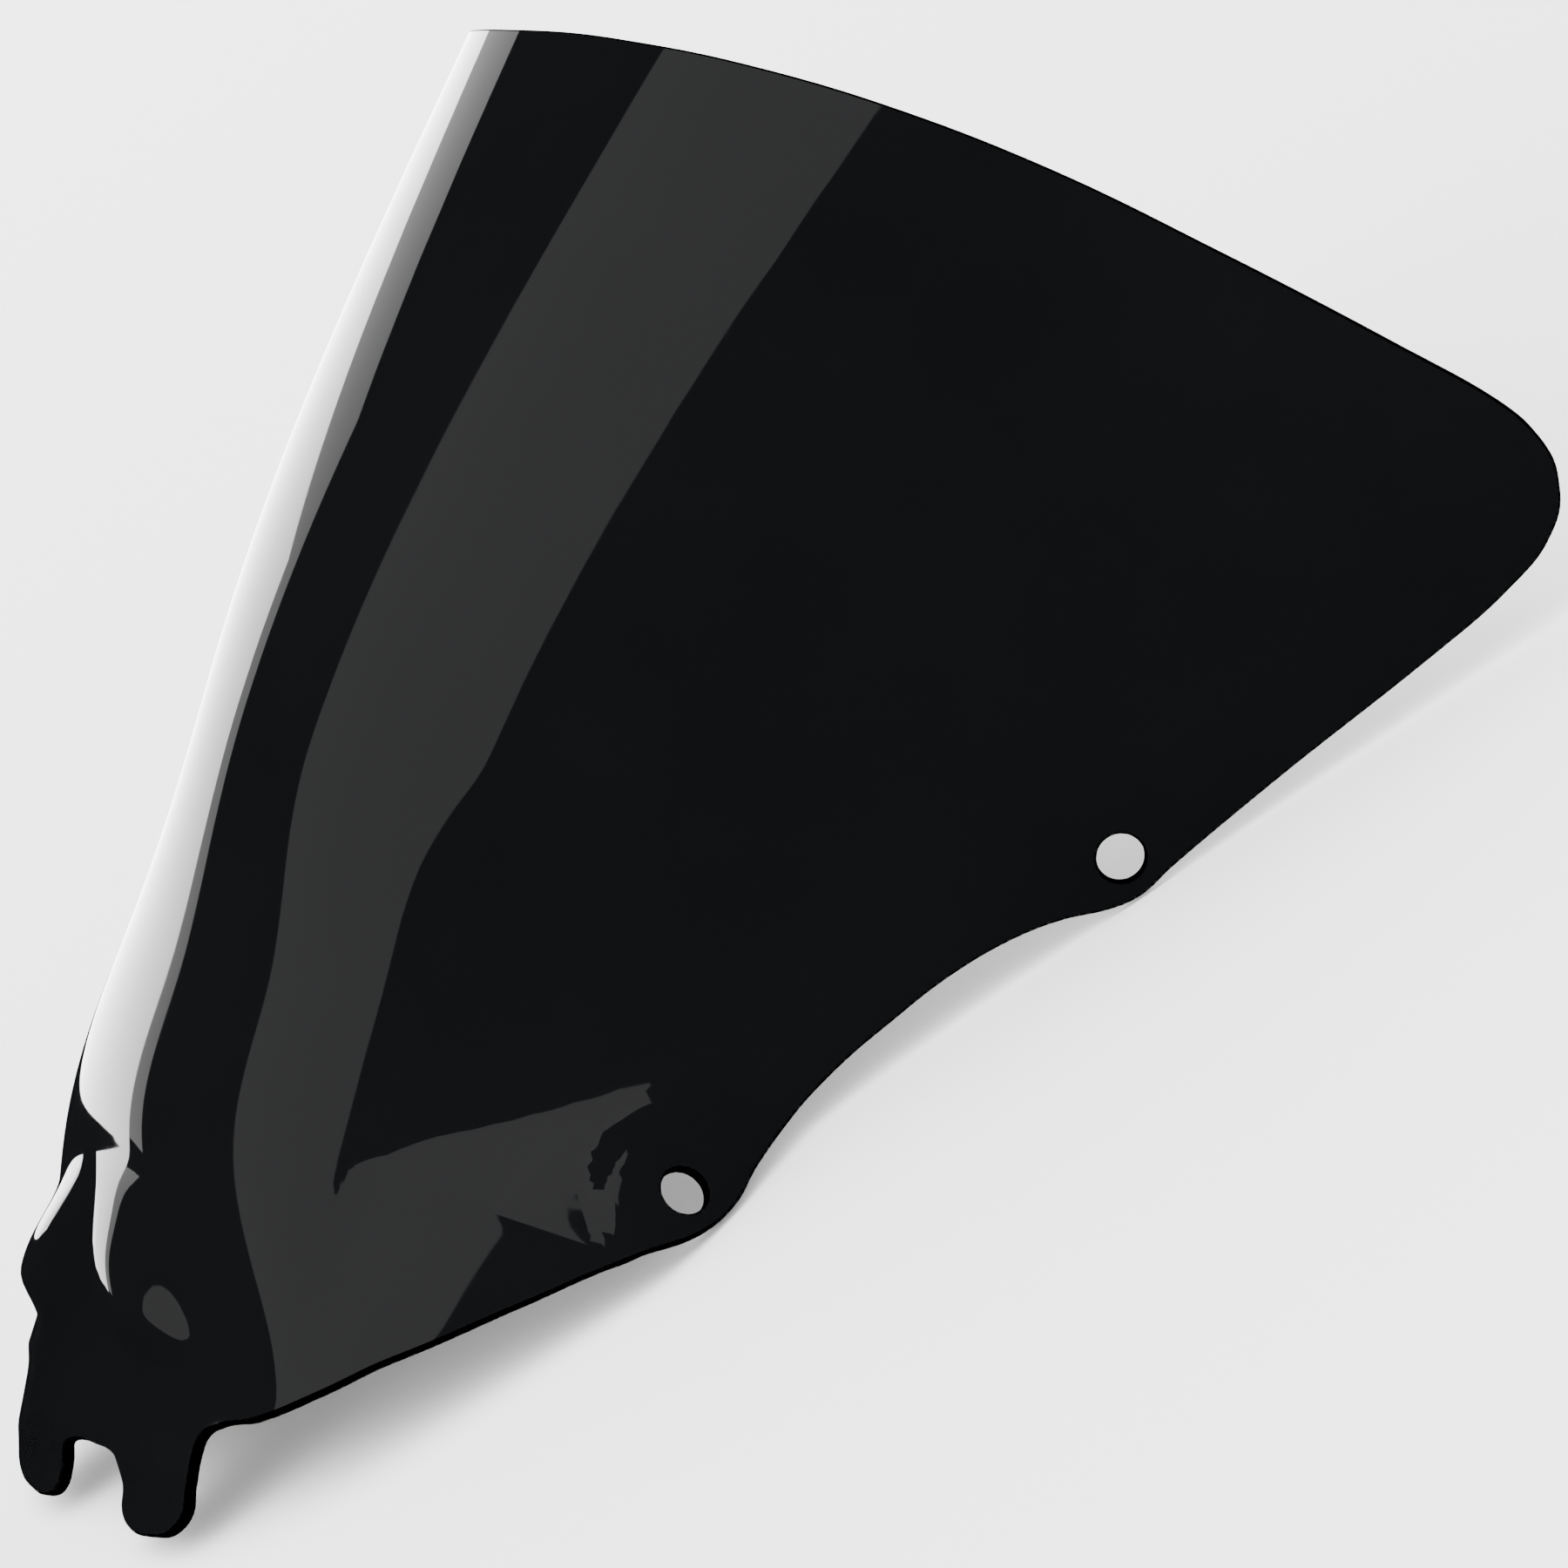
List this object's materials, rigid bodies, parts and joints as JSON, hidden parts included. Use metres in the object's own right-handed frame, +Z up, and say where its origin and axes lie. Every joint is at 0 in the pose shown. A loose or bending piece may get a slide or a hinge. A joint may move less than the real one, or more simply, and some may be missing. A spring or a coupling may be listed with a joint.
{
  "type": "motorcycle windshield screen",
  "caption": "Smoke-tinted moulded motorcycle windshield: a thin arched shell with a long trailing edge, side fastener lobes and a forked nose tab",
  "frame": {"origin": "middle of the bottom of the bounding box, with the screen standing on its four fastener lobes", "axes": "+Y is backwards, from the forked nose towards the rider; +Z is up; X is across the screen, and X = 0 is the plane of symmetry"},
  "size_m": [0.3416, 0.3802, 0.2215],
  "materials": {
    "smoke_acrylic": "polished dark smoke acrylic sheet"
  },
  "bodies": {
    "root": {"screen_shell": "smoke_acrylic"}
  },
  "joints": []
}
